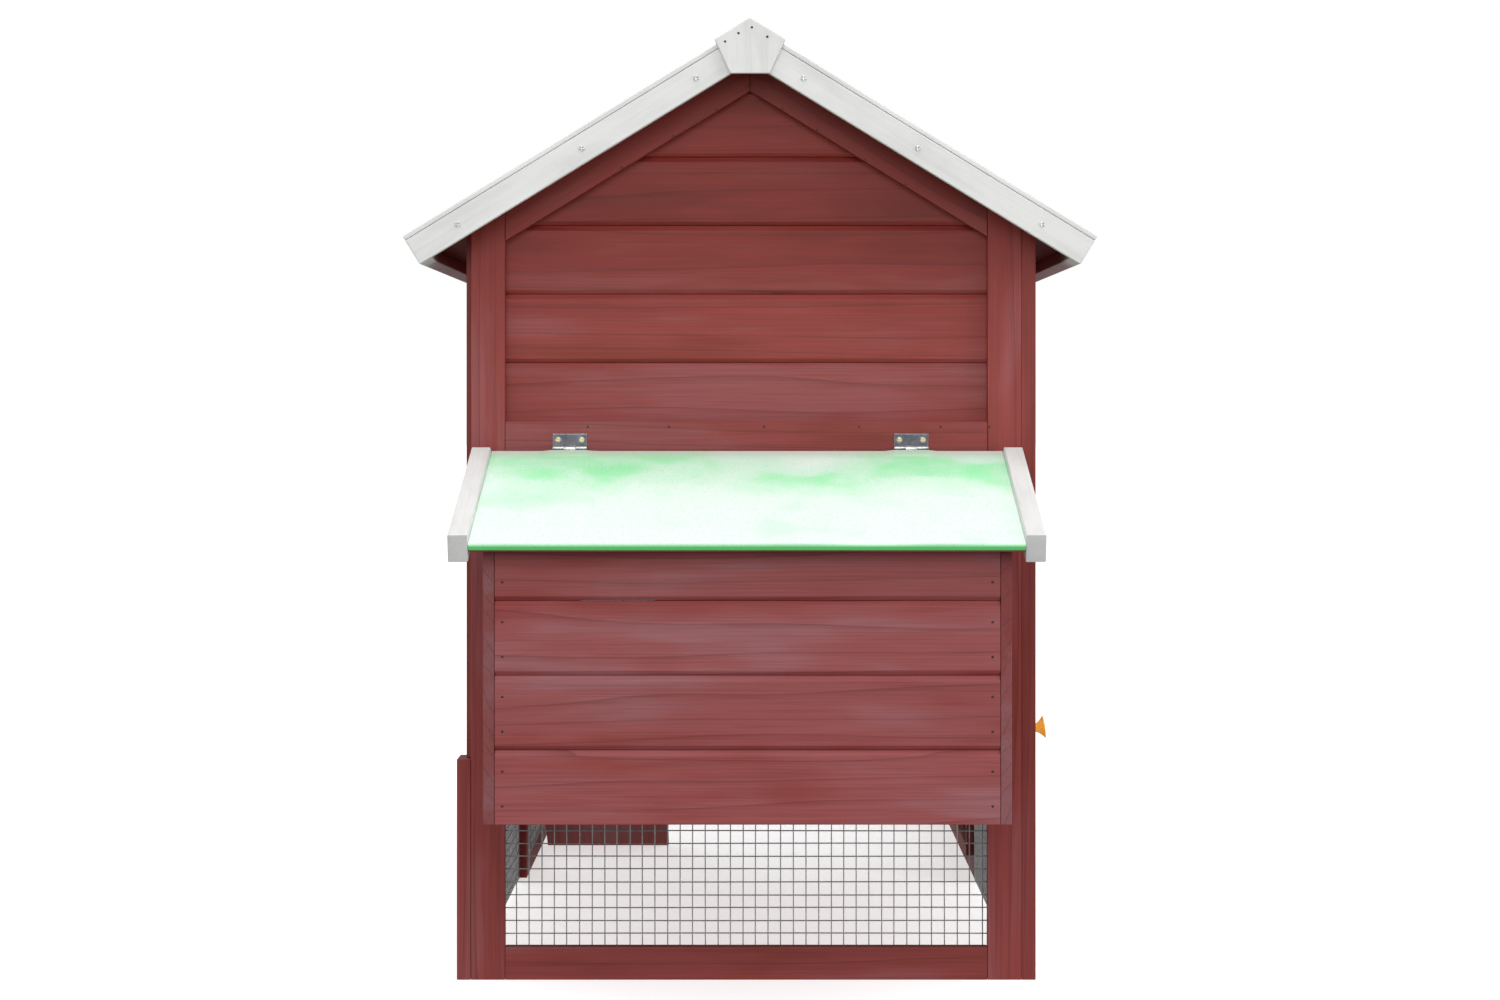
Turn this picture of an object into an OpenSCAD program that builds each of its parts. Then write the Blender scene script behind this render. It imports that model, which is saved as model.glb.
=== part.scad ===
// Wooden chicken coop: a raised house with an outside nest box, and a wire run under one gable roof.
// X runs across the house, Y from the nest box to the far end of the run, Z up from the ground.
// The origin is on the ground, in the middle of the footprint.

/* [House] */
// Length of house and run together, over the end frames
body_len = 1550; // [1350:10:1900]
// Length of the raised house, to the far edge of its corner stiles
house_len = 730; // [600:5:850]
// Width of the two end frames
end_w = 584; // [520:2:700]
// Height of the side walls at their outer faces
wall_h = 804; // [740:2:980]
// Height of the house floor's top above the ground
floor_h = 234; // [200:2:290]
// Sideways offset of the end frames from the ridge
end_shift = 4; // [0:1:8]

/* [Timber] */
// Thickness of the framing strips
frame_t = 15; // [12:0.5:20]
// Width of the end posts
post_w = 36; // [30:1:45]
// Width of the stiles on the long sides
stile_w = 40; // [34:1:48]
// Width of the rails
rail_w = 35; // [28:1:42]
// Width of the rail that carries the nest lid's hinges
hinge_rail_w = 50; // [40:1:60]
// Thickness of the matchboards
board_t = 9; // [7:0.5:12]
// Visible width of one matchboard
board_pitch = 73; // [60:1:95]
// Chamfer along one edge of each matchboard
board_chamfer = 5.5; // [2:0.5:7]
// Height of the smaller chamfer along a wall board's lower edge
board_undercut = 4; // [0.5:0.5:6]
// Depth of the V groove that the two chamfers make
board_groove = 3.2; // [1:0.1:5]
// Gap left at butt joints and between boards
joint_gap = 0.3; // [0.2:0.1:0.8]

/* [Roof] */
// Pitch of the roof in degrees
roof_pitch = 31.5; // [26:0.5:36]
// Overhang of the roof past the long sides
eave_overhang = 57.5; // [40:0.5:90]
// Overhang of the roof past each end frame
gable_overhang = 50; // [35:1:80]
// Thickness of the felt
felt_t = 2; // [1.5:0.5:3]
// Width of the white barge boards
barge_w = 29; // [24:1:45]
// Thickness of the barge boards
barge_t = 12; // [9:0.5:16]
// Thickness of the strips that cover the felt's gable edges
cover_t = 5; // [4:0.5:8]
// Width of each ridge board
ridge_w = 30; // [26:1:36]
// Thickness of the ridge boards
ridge_t = 9.5; // [7:0.5:12]
// Thickness of the gable cap plates
cap_t = 8; // [6:0.5:12]
// Height of the gable cap plates
cap_h = 58; // [50:1:70]
// Width of the rails under the gable slopes
rake_w = 40; // [30:1:50]
// Depth of the rafters
rafter_h = 20; // [15:1:28]

/* [Nest box] */
// Outer width of the nest box
nest_w = 517; // [440:1:520]
// Depth of the nest box, out from the end frame
nest_d = 270; // [220:5:320]
// How far the nest box's underside lies below the house floor
nest_drop = 34; // [30:1:60]
// Thickness of the nest box's side panels
nest_side_t = 11; // [9:0.5:14]
// Height of the lid's hinge line
lid_z = 563; // [540:1:590]
// Slope of the lid in degrees
lid_slope = 16.2; // [10:0.2:20]
// Length of the lid from its hinge line to its front edge
lid_len = 309; // [290:1:360]
// Width of the lid over its two trims
lid_w = 580; // [560:1:640]
// Thickness of the lid's board
lid_t = 7; // [6:0.5:12]
// Width of the lid's trims
trim_w = 19.5; // [16:0.5:24]
// Height of the lid's trims
trim_h = 28; // [24:1:34]

/* [Doors] */
// Gap round each door and the tray front
door_gap = 2; // [1.5:0.5:4]
// Height of the sill between the tray front and the house door
sill_h = 22; // [16:1:40]
// Depth of the rail above the doors
head_w = 54; // [48:1:70]
// Width of the doors' frame strips
door_strip = 36; // [30:1:45]
// Thickness of the doors
door_t = 14.5; // [12:0.5:18]
// Length of the turn buttons
button_len = 50; // [40:1:50]
// Width of the turn buttons
button_w = 16; // [12:1:18]
// Thickness of the turn buttons
button_t = 8; // [6:0.5:12]

/* [Tray] */
// Height of the tray's front board
tray_front_h = 50; // [44:1:52]
// Height of the tray's rim
tray_rim = 28; // [20:1:30]
// Thickness of the tray's sheet metal
tray_wall = 1.2; // [0.8:0.1:2]
// Diameter of the tray's knobs
knob_d = 25; // [20:1:32]
// How far the knobs stand out
knob_out = 25; // [18:1:32]

/* [Ramp] */
// Width of the ramp
ramp_w = 167; // [130:1:190]
// Thickness of the ramp board
ramp_t = 9; // [7:0.5:12]
// Slope of the ramp in degrees
ramp_slope = 36.5; // [34:0.5:45]
// Height of the ramp's cleats
cleat_h = 9; // [6:0.5:9]
// Distance from cleat to cleat
cleat_pitch = 60; // [45:1:80]
// Height of the pop-hole, in whole boards
hole_rows = 3; // [2:1:4]

/* [Wire and hardware] */
// Distance between neighbouring mesh wires
mesh_pitch = 13.5; // [10:0.5:20]
// Every how many wires one is drawn
wire_stride = 4; // [2:1:6]
// Thickness of the drawn wires
wire_t = 2; // [1.2:0.1:3]
// Length of the hinges
hinge_len = 36; // [30:1:50]
// Width of a hinge leaf
leaf_w = 16; // [13:0.5:18]
// Thickness of a hinge leaf
leaf_t = 1.2; // [0.8:0.1:1.6]
// Radius of a hinge knuckle
knuckle_r = 3; // [2.5:0.1:3.5]
// Radius of a hinge pin
pin_r = 1.4; // [1:0.1:1.6]
// Radial clearance of the pins and screws that something turns on
running_fit = 0.05; // [0.02:0.01:0.1]
// Diameter of a screw head
screw_d = 6; // [4:0.5:8]

/* [Hidden] */
$fn = 48;
g = joint_gap;
tan_p = tan(roof_pitch);
cos_p = cos(roof_pitch);
sin_p = sin(roof_pitch);

// Faces across the house: outer and inner faces of the end frames and of the long sides
left = -end_w / 2 - end_shift;
right = end_w / 2 - end_shift;
front_out = right + frame_t;            // outer face of the door side
back_out = left - 6;                    // outer face of the closed back wall
back_in = back_out + frame_t;
low_out = left - frame_t;               // outer face of the low frame under the back wall

// Stations along the house
near_in = frame_t;
far_in = body_len - frame_t;
mid0 = house_len - stile_w;             // middle stiles
mid1 = house_len;
near_stile = 38;                        // width of the stile beside the nest end
stop_t = 10;                            // depth of the strips that the doors close against
part0 = mid0 + 10;                      // partition between house and run
part1 = part0 + board_t;

// Heights
ridge_z = wall_h + front_out * tan_p;   // underside of the roof at the ridge
deck_n = board_t + felt_t;              // roof boards and felt together
slope_len = (front_out + eave_overhang - deck_n * sin_p) / cos_p;
rafter_len = (right - 25) / cos_p;
deck_z = floor_h - board_t;             // underside of the floor boards
head_z = wall_h - head_w;
hinge_rail_z = lid_z + 29 - hinge_rail_w;
nest_sill_z = floor_h + 46;
nest_z = floor_h - nest_drop;
nail_t = 0.6;                           // thickness of a nail's head
gable_y0 = -gable_overhang;
gable_y1 = body_len + gable_overhang;

// Nest box across the end
nest_x0 = -nest_w / 2 - 2.5;
nest_x1 = nest_w / 2 - 2.5;
lid_x0 = -lid_w / 2 - 3;
lid_x1 = lid_w / 2 - 3;
jamb_x0 = nest_x0 + nest_side_t + 15;
jamb_x1 = nest_x1 - nest_side_t - 15;
lid_under = knuckle_r + lid_t;          // lid board's underside, below the hinge line
trim_top = felt_t - knuckle_r + 9;      // top of the lid's trims, above the hinge line
nest_reach = knuckle_r + lid_len * cos(lid_slope) + trim_top * sin(lid_slope);

// Ramp hinge line, and the pop-hole behind the folded ramp
ramp_x = back_in + 8;
ramp_y = part1 + cleat_h - knuckle_r + 2.5;
ramp_z = floor_h + 12;
ramp_len = (ramp_z - (knuckle_r + ramp_t) * cos(ramp_slope) - g) / sin(ramp_slope);
ledge_top = ramp_z - knuckle_r;
batten_x = back_in + board_t + 2 * g;     // partition batten beside the pop-hole
hole_x0 = batten_x + 15 + g;
hole_x1 = ramp_x + ramp_w - 9;
hole_z1 = floor_h + g / 2 + hole_rows * board_pitch;

// Doors, tray and their hardware
tray_z = floor_h - 10;
sill_z = tray_z + tray_front_h + door_gap;
door_z = sill_z + sill_h;
door_x0 = front_out - door_t;
door_z1 = head_z - door_gap;
run_y0 = mid1 + door_gap;
run_y1 = body_len - near_stile - door_gap;
run_door_z = rail_w + door_gap;
house_y0 = near_stile + door_gap;
house_y1 = mid0 - door_gap;
pin_x = front_out + knuckle_r;
knob_y = [near_stile + 122, mid0 - 170];
tray_gap = 8;
door_hinge_z = [door_z + 70, door_z1 - 70];
run_hinge_z = [run_door_z + 90, door_z1 - 90];
lid_hinge_x = [-191, 171];
house_button = [near_stile + 92, head_z + 14];
run_button = [mid1 - 13, (door_z + door_z1) / 2];

// Colours
stain = [0.57, 0.26, 0.25];
white = [0.93, 0.93, 0.92];
felt_green = [0.45, 0.85, 0.55];
wire_grey = [0.62, 0.64, 0.65];
zinc = [0.70, 0.72, 0.74];
knob_orange = [1.0, 0.60, 0.15];
brass = [0.80, 0.68, 0.40];

// Underside of the roof above a place across the house
function roof_at(x) = ridge_z - abs(x) * tan_p;
// A point in the roof's cross-section: u down the slope, n out from the underside
function slope_pt(u, n) = [u * cos_p + n * sin_p, ridge_z - u * sin_p + n * cos_p];
// Even spacing: how many boards of about one pitch fill a length
function boards_in(len) = max(1, round(len / board_pitch));

// The whole coop, moved so that its footprint is centred on the origin
module placed() translate([0, (nest_reach - gable_y1 - cap_t - nail_t) / 2, 0]) children();

// A straight timber between two corners
module bar(x, y, z) {
    translate([x[0], y[0], z[0]]) cube([x[1] - x[0], y[1] - y[0], z[1] - z[0]]);
}

// An outline across the house, carried along Y
module across(points, y) {
    rotate([90, 0, 0]) translate([0, 0, -y[1]]) linear_extrude(y[1] - y[0]) polygon(points);
}

// An outline along the house, carried along X
module along(points, x) {
    rotate([90, 0, 90]) translate([0, 0, x[0]]) linear_extrude(x[1] - x[0]) polygon(points);
}

// Both slopes of something drawn on the +X slope
module both_slopes() {
    children();
    mirror([1, 0, 0]) children();
}

// A strip on the +X slope between two places down the slope and two heights above its underside
module slope_strip(u, n, y) {
    across([slope_pt(u[0], n[0]), slope_pt(u[1], n[0]), slope_pt(u[1], n[1]), slope_pt(u[0], n[1])], y);
}

// A strip on the +X slope that starts at the ridge with a plumb cut
module ridge_strip(u1, n, y) {
    across([[0, ridge_z + n[0] / cos_p], slope_pt(u1, n[0]), slope_pt(u1, n[1]),
        [0, ridge_z + n[1] / cos_p]], y);
}

// A wall board's outline as (depth, height) pairs, with its face at depth 0. The chamfers on the
// face keep to the board's height, and the lowest board has a square lower edge.
function board_outline(zb, zt, first) = let (
        c = min(board_chamfer, (zt - zb) * 0.5),
        u = min(board_undercut, (zt - zb) * 0.4)
    ) concat([[board_t, zb]], [[board_t, zt], [board_groove, zt], [0, zt - c]],
        first ? [[0, zb]] : [[0, zb + u], [board_groove, zb]]);

// Matchboards lying along Y, stacked from z[0] to z[1], facing away from x_back on the side
// given. The last board is ripped to what is left.
module boards_y(x_back, side, y, z) {
    for (zb = [z[0] : board_pitch : z[1] - g]) {
        outline = board_outline(zb, min(zb + board_pitch - g, z[1]), zb == z[0]);
        translate([x_back, 0, 0]) scale([side, 1, 1])
            across([for (p = outline) [board_t - p[0], p[1]]], y);
    }
}

// Matchboards lying along X, with their faces towards -Y
module boards_x(x, y_face, z) {
    for (zb = [z[0] : board_pitch : z[1] - g]) {
        outline = board_outline(zb, min(zb + board_pitch - g, z[1]), zb == z[0]);
        along([for (p = outline) [y_face + p[0], p[1]]], x);
    }
}

// Square welded mesh drawn with every few wires, standing on the XZ plane from the origin
module grille(w, h) {
    pitch = mesh_pitch * wire_stride;
    nx = floor((w - wire_t) / pitch);
    nz = floor((h - wire_t) / pitch);
    for (i = [0 : nx]) translate([i * (w - wire_t) / nx, 0, 0]) cube([wire_t, wire_t, h]);
    for (j = [0 : nz]) translate([0, 0, j * (h - wire_t) / nz]) cube([w, wire_t, wire_t]);
}

// The posts, foot rail and gable rails that the two end frames share
module end_frame(y) {
    for (x0 = [left, right - post_w]) {
        x1 = x0 + post_w;
        across([[x0, 0], [x1, 0], [x1, roof_at(x1)], [x0, roof_at(x0)]], y);
    }
    bar([left + post_w + g, right - post_w - g], y, [0, rail_w]);
    drop = rake_w / cos_p;
    for (side = [-1, 1]) {
        x1 = side < 0 ? left + post_w + g : right - post_w - g;
        x0 = side * g / 2;
        across([[x0, roof_at(x0) - drop], [x1, roof_at(x1) - drop], [x1, roof_at(x1)],
            [x0, roof_at(x0)]], y);
    }
}

module near_end_frame() {
    color(stain) placed() {
        y = [0, frame_t];
        end_frame(y);
        x0 = left + post_w + g;
        x1 = right - post_w - g;
        bar([x0, x1], y, [hinge_rail_z, hinge_rail_z + hinge_rail_w]);
        bar([x0, x1], y, [floor_h - rail_w, floor_h]);
        jamb_z = [floor_h + g, hinge_rail_z - g];
        bar([x0, jamb_x0], y, jamb_z);
        bar([jamb_x1, x1], y, jamb_z);
    }
}

// Gable boards clipped to the roof, from a height up to the ridge
module gable_boards(x, y_face, z0) {
    intersection() {
        boards_x(x, y_face, [z0, ridge_z - 10]);
        across([[x[0], z0], [x[1], z0], [x[1], roof_at(x[1])], [0, ridge_z - g],
            [x[0], roof_at(x[0])]], [y_face, y_face + board_t]);
    }
}

module near_end_boards() {
    color(stain) placed() {
        x = [back_in + g, right - g];
        gable_boards(x, near_in, hinge_rail_z + hinge_rail_w - 10);
        bar(x, [near_in, near_in + board_t], [floor_h + g, nest_sill_z]);
    }
}

module near_end_mesh() {
    color(wire_grey) placed() translate([left + 24, near_in, rail_w - 12])
        grille(end_w - 48, floor_h - 2 * rail_w + 24);
}

module far_end_frame() {
    color(stain) placed() {
        y = [far_in, body_len];
        end_frame(y);
        bar([left + post_w + g, right - post_w - g], y, [head_z - rail_w, head_z]);
    }
}

module far_end_boards() {
    color(stain) placed() translate([0, 2 * far_in - board_t, 0]) mirror([0, 1, 0])
        gable_boards([back_in + g, right - g], far_in - board_t, head_z - 10);
}

module far_end_mesh() {
    color(wire_grey) placed() translate([left + 24, far_in - wire_t, rail_w - 12])
        grille(end_w - 48, head_z - 2 * rail_w + 24);
}

module front_frame() {
    color(stain) placed() {
        x = [right, front_out];
        for (y = [[0, near_stile], [mid0, mid1], [body_len - near_stile, body_len]])
            bar(x, y, [0, wall_h]);
        house = [near_stile + g, mid0 - g];
        run = [mid1 + g, body_len - near_stile - g];
        bar(x, house, [head_z, wall_h]);
        bar(x, run, [head_z, wall_h]);
        bar(x, house, [sill_z, door_z]);
        bar(x, house, [tray_z - door_gap - rail_w, tray_z - door_gap]);
        bar(x, run, [0, rail_w]);
    }
}

module front_low_mesh() {
    color(wire_grey) placed() translate([right, near_stile - 14, 3]) rotate([0, 0, 90])
        grille(mid0 - near_stile + 28, tray_z - door_gap - rail_w + 9);
}

// Strips inside the front frame that the doors close against
module door_stops() {
    color(stain) placed() {
        x = [right - stop_t, right - g];
        lap = 8;
        for (opening = [[near_stile, mid0, door_z, head_z],
            [mid1, body_len - near_stile, rail_w, head_z]]) {
            y0 = opening[0];
            y1 = opening[1];
            bar(x, [y0 - 6, y0 + lap], [opening[2] + lap + g, opening[3] - lap - g]);
            bar(x, [y1 - lap, y1 + 6], [opening[2] + lap + g, opening[3] - lap - g]);
            bar(x, [y0, y1], [opening[2] - 6, opening[2] + lap]);
            bar(x, [y0, y1], [opening[3] - lap, opening[3] + 6]);
        }
    }
}

module back_wall_frame() {
    color(stain) placed() {
        x = [back_out, back_in];
        top = roof_at(back_out);
        bar(x, [near_in + g, near_in + 30], [floor_h + g, top]);
        bar(x, [mid0, mid1 - g], [floor_h + g, top]);
        inner = [near_in + 30 + g, mid0 - g];
        bar(x, inner, [floor_h + g, floor_h + rail_w]);
        bar(x, inner, [top - rail_w, top]);
    }
}

module back_wall_boards() {
    color(stain) placed() boards_y(back_in + board_t + g, -1, [near_in + board_t + g, part0 - g],
        [floor_h + g, roof_at(back_out)]);
}

module back_low_frame() {
    color(stain) placed() {
        x = [low_out, left - g];
        bar(x, [0, 45], [0, floor_h]);
        bar(x, [mid0, mid1], [0, floor_h]);
        bar(x, [45 + g, mid0 - g], [floor_h - 12 - rail_w, floor_h - 12]);
    }
}

module back_low_mesh() {
    color(wire_grey) placed() translate([left + wire_t, 32, 3]) rotate([0, 0, 90])
        grille(mid0 - 19, floor_h - rail_w - 5);
}

module run_back_frame() {
    color(stain) placed() {
        x = [back_out, back_in];
        top = roof_at(back_out);
        bar(x, [mid1, mid1 + stile_w], [0, top]);
        bar(x, [far_in - stile_w, far_in - g], [0, top]);
        inner = [mid1 + stile_w + g, far_in - stile_w - g];
        for (z = [0, (top - rail_w) / 2, top - rail_w]) bar(x, inner, [z, z + rail_w]);
    }
}

module run_back_mesh() {
    color(wire_grey) placed() translate([back_in + wire_t, mid1 + stile_w - 14, rail_w - 12])
        rotate([0, 0, 90]) grille(far_in - mid1 - 2 * stile_w + 28, roof_at(back_out) - 2 * rail_w + 24);
}

// Boards across the house, with the pop-hole cut out of them behind the ramp
module partition_boards() {
    color(stain) placed() difference() {
        intersection() {
            boards_x([back_in + g, right - g], part0, [floor_h + g, ridge_z - 20]);
            across([[back_in + g, 0], [right - g, 0], [right - g, roof_at(right) - g], [0, ridge_z - g],
                [back_in + g, roof_at(back_in) - g]], [part0, part1]);
        }
        bar([hole_x0, hole_x1], [part0 - 1, part1 + 1], [0, hole_z1]);
    }
}

module partition_battens() {
    color(stain) placed() {
        y = [part0 - 15, part0 - g];
        bar([batten_x, batten_x + 15], y, [floor_h + g, wall_h]);
        bar([right - stop_t - 15 - g, right - stop_t - g], y, [floor_h + g, wall_h]);
    }
}

module floor_bearers() {
    color(stain) placed() {
        y = [near_in + g, mid0 - g];
        z = [deck_z - rail_w, deck_z - g];
        bar([left + 4, left + 19], y, z);
        bar([right - 15 - 4, right - 4], y, z);
    }
}

module floor_boards() {
    color(stain) placed() {
        y0 = near_in + g;
        n = boards_in(part1 - y0);
        step = (part1 - y0) / n;
        for (i = [0 : n - 1]) bar([left + g, right - g], [y0 + i * step, y0 + (i + 1) * step - g],
            [deck_z, floor_h]);
    }
}

// Boards along one slope; the fascia takes the last of the slope
module deck_slope() {
    u1 = slope_len - barge_t - g;
    n = boards_in(u1);
    step = u1 / n;
    for (i = [0 : n - 1]) slope_strip([i * step + g, (i + 1) * step], [g, board_t],
        [gable_y0 + barge_t + g, gable_y1 - barge_t - g]);
}

module roof_deck_front() { color(stain) placed() deck_slope(); }
module roof_deck_back() { color(stain) placed() mirror([1, 0, 0]) deck_slope(); }

module felt_slope() {
    ridge_strip(slope_len, [board_t + g, deck_n], [gable_y0 + barge_t + g, gable_y1 - barge_t - g]);
}

module roof_felt_front() { color(felt_green) placed() felt_slope(); }
module roof_felt_back() { color(felt_green) placed() mirror([1, 0, 0]) felt_slope(); }

module rafters() {
    color(stain) placed() for (y = [near_in + board_t + 4, mid1 + 8, far_in - board_t - 24])
        both_slopes() across([[g, ridge_z - rafter_h / cos_p], slope_pt(rafter_len, -rafter_h),
            slope_pt(rafter_len, 0), [g, ridge_z - g]], [y, y + 20]);
}

module barge_boards() {
    color(white) placed() for (y = [gable_y0, gable_y1 - barge_t])
        both_slopes() slope_strip([barge_w * tan_p, slope_len], [deck_n - barge_w, deck_n],
            [y, y + barge_t]);
}

module barge_covers() {
    color(white) placed() for (y = [gable_y0, gable_y1 - 30])
        both_slopes() slope_strip([ridge_w + g, slope_len], [deck_n + g, deck_n + cover_t],
            [y, y + 30]);
}

module fascias() {
    color(white) placed() both_slopes() slope_strip([slope_len - barge_t, slope_len],
        [deck_n - barge_w, board_t], [gable_y0 + barge_t + g, gable_y1 - barge_t - g]);
}

module ridge_boards() {
    color(white) placed() both_slopes() across([[g / 2, ridge_z + (deck_n + g) / cos_p],
        slope_pt(ridge_w, deck_n + g), slope_pt(ridge_w, deck_n + ridge_t),
        [g / 2, ridge_z + (deck_n + ridge_t) / cos_p]], [gable_y0, gable_y1]);
}

module gable_caps() {
    top = ridge_z + (deck_n + ridge_t) / cos_p;
    shoulder = 37;
    foot = 20.5;
    color(white) placed() for (y = [gable_y0 - cap_t, gable_y1])
        across([[0, top], [shoulder, top - shoulder * tan_p], [foot, top - cap_h],
            [-foot, top - cap_h], [-shoulder, top - shoulder * tan_p]], [y, y + cap_t]);
}

// The lid's frame: y runs back to the hinge line, z out of the lid
module lid_placed() {
    placed() translate([0, -knuckle_r, lid_z]) rotate([lid_slope, 0, 0]) children();
}

// Height of the lid's underside at a distance out from the end frame
function lid_under_at(d) = lid_z - lid_under / cos(lid_slope) - (d - knuckle_r) * tan(lid_slope);

module nest_front() {
    color(stain) placed() {
        x = [nest_x0 + nest_side_t + g, nest_x1 - nest_side_t - g];
        boards_x(x, -nest_d, [nest_z, lid_under_at(nest_d) - 1]);
    }
}

module nest_sides() {
    color(stain) placed() for (x = [nest_x0, nest_x1 - nest_side_t])
        along([[-nest_d, nest_z], [-g, nest_z], [-g, lid_under_at(0) - 1],
            [-nest_d, lid_under_at(nest_d) - 1]], [x, x + nest_side_t]);
}

module nest_floor() {
    color(stain) placed() bar([nest_x0 + nest_side_t + g, nest_x1 - nest_side_t - g],
        [-nest_d + board_t + g, -g], [nest_z, nest_z + board_t]);
}

module nest_battens() {
    color(stain) placed() for (x = [nest_x0 + nest_side_t + g, nest_x1 - nest_side_t - g - 15],
        y = [-nest_d + board_t + g, -15 - g])
        bar([x, x + 15], [y, y + 15], [nest_z + board_t + g, lid_under_at(-y) - 6]);
}

module nest_divider() {
    color(stain) placed() translate([(nest_x0 + nest_x1) / 2, 0, 0])
        bar([-board_t / 2, board_t / 2], [-nest_d + board_t + g, -g],
            [nest_z + board_t + g, lid_under_at(nest_d) - 60]);
}

// A dome-headed screw, standing on the XY plane
module screw_head() {
    cylinder(d = screw_d, h = 0.8);
    translate([0, 0, 0.8]) cylinder(d1 = screw_d, d2 = screw_d * 0.6, h = 0.8);
}

module roof_screws() {
    mid_n = deck_n - barge_w / 2;
    color(zinc) placed() {
        for (u = [68, slope_len / 2, slope_len - 56], side = [-1, 1]) {
            p = slope_pt(u, mid_n);
            translate([side * p[0], gable_y0, p[1]]) rotate([90, 0, 0]) screw_head();
            translate([side * p[0], gable_y1, p[1]]) rotate([-90, 0, 0]) screw_head();
        }
        p = slope_pt(slope_len, mid_n);
        for (y = [gable_y0 + 30, (gable_y0 + gable_y1) / 2, gable_y1 - 30], side = [-1, 1])
            translate([side * p[0], y, p[1]]) rotate([0, side * (90 + roof_pitch), 0]) screw_head();
    }
}

// Nail heads on the gable caps and in pairs at the ends of the nest box's front boards
module nails() {
    nail_d = 3;
    top = ridge_z + (deck_n + ridge_t) / cos_p;
    color(zinc) placed() {
        for (x = [-26, -12, 2, 18], y = [gable_y0 - cap_t, gable_y1 + cap_t + nail_t])
            translate([x, y, top - 9 - abs(x) * tan_p]) rotate([90, 0, 0]) cylinder(d = nail_d, h = nail_t);
        for (zb = [nest_z : board_pitch : lid_under_at(nest_d) - 30], dz = [18, 52],
            x = [nest_x0 + nest_side_t + 8, nest_x1 - nest_side_t - 8])
            translate([x, -nest_d, zb + dz]) rotate([90, 0, 0]) cylinder(d = nail_d, h = nail_t);
    }
}

// One half of a butt hinge. Its pin lies along X through the origin, and the leaf reaches
// towards +Y, lying on the plane one knuckle radius below the pin.
module hinge_half(fixed, leaf = leaf_w) {
    third = hinge_len / 3;
    tabs = fixed ? [[-hinge_len / 2, third - g], [hinge_len / 2 - third + g, third - g]]
        : [[-third / 2, third]];
    difference() {
        union() {
            bar([-hinge_len / 2, hinge_len / 2], [knuckle_r + 0.4, leaf], [-knuckle_r, leaf_t - knuckle_r]);
            for (t = tabs) {
                bar([t[0], t[0] + t[1]], [0, knuckle_r + 1], [-knuckle_r, leaf_t - knuckle_r]);
                translate([t[0], 0, 0]) rotate([0, 90, 0]) cylinder(r = knuckle_r, h = t[1]);
            }
        }
        if (!fixed) translate([-hinge_len, 0, 0]) rotate([0, 90, 0])
            cylinder(r = pin_r + running_fit, h = 2 * hinge_len);
    }
    if (fixed) translate([-hinge_len / 2, 0, 0]) rotate([0, 90, 0]) cylinder(r = pin_r, h = hinge_len);
    if (fixed) for (x = [-1, 1])
        translate([x * (hinge_len / 2 - 5.5), (leaf + knuckle_r) / 2, leaf_t - knuckle_r])
            cylinder(d = screw_d, h = 0.9);
}

module nest_hinge_leaves() {
    color(zinc) placed() for (x = lid_hinge_x) translate([x, -knuckle_r, lid_z])
        rotate([90, 0, 0]) hinge_half(true);
}

module lid_hinge_leaves() {
    color(zinc) lid_placed() for (x = lid_hinge_x) translate([x, 0, 0])
        mirror([0, 1, 0]) hinge_half(false);
}

// Places a door hinge: its pin stands up, and +Y stays +Y
module door_hinges(y, heights) {
    placed() for (z = heights) translate([pin_x, y, z]) rotate([0, 90, 0]) children();
}

module door_hinge_leaves() {
    color(zinc) {
        door_hinges(mid0 - door_gap / 2, door_hinge_z) hinge_half(true);
        door_hinges(body_len - near_stile - door_gap / 2, run_hinge_z) hinge_half(true);
    }
}

module house_door_leaves() {
    color(zinc) door_hinges(mid0 - door_gap / 2, door_hinge_z) mirror([0, 1, 0]) hinge_half(false);
}

module run_door_leaves() {
    color(zinc) door_hinges(body_len - near_stile - door_gap / 2, run_hinge_z)
        mirror([0, 1, 0]) hinge_half(false);
}

// A door's frame: two stiles and the rails between them
module door_frame(y, z, rails) {
    x = [door_x0, front_out];
    for (y0 = [y[0], y[1] - door_strip]) bar(x, [y0, y0 + door_strip], z);
    for (rz = rails) bar(x, [y[0] + door_strip + g, y[1] - door_strip - g], [rz, rz + door_strip]);
}

module house_door_frame() {
    z = [door_z + door_gap, door_z1];
    color(stain) placed() door_frame([house_y0, house_y1], z, [z[0], z[1] - door_strip]);
}

// Upright matchboards in the house door
module house_door_boards() {
    y0 = house_y0 + door_strip + g;
    width = house_y1 - house_y0 - 2 * door_strip - 2 * g;
    n = boards_in(width);
    step = width / n;
    z = [door_z + door_gap + door_strip + g, door_z1 - door_strip - g];
    color(stain) placed() for (i = [0 : n - 1]) {
        yb = y0 + i * step;
        c = board_chamfer;
        translate([0, 0, z[0]]) linear_extrude(z[1] - z[0]) polygon([[door_x0, yb],
            [door_x0 + board_t, yb], [door_x0 + board_t, yb + step - g - c],
            [door_x0 + board_t - board_groove, yb + step - g], [door_x0, yb + step - g]]);
    }
}

module run_door_frame() {
    z = [run_door_z, door_z1];
    color(stain) placed() door_frame([run_y0, run_y1], z,
        [z[0], (z[0] + z[1] - door_strip) / 2, z[1] - door_strip]);
}

// The mesh is stapled into a shallow step behind the door's frame, clear of the stops
module run_door_mesh() {
    lap = 10;
    y0 = run_y0 + door_strip - lap;
    z0 = run_door_z + door_strip - lap;
    color(wire_grey) placed() translate([door_x0 - g, y0, z0]) rotate([0, 0, 90])
        grille(run_y1 - door_strip + lap - y0, door_z1 - door_strip + lap - z0);
}

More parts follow.
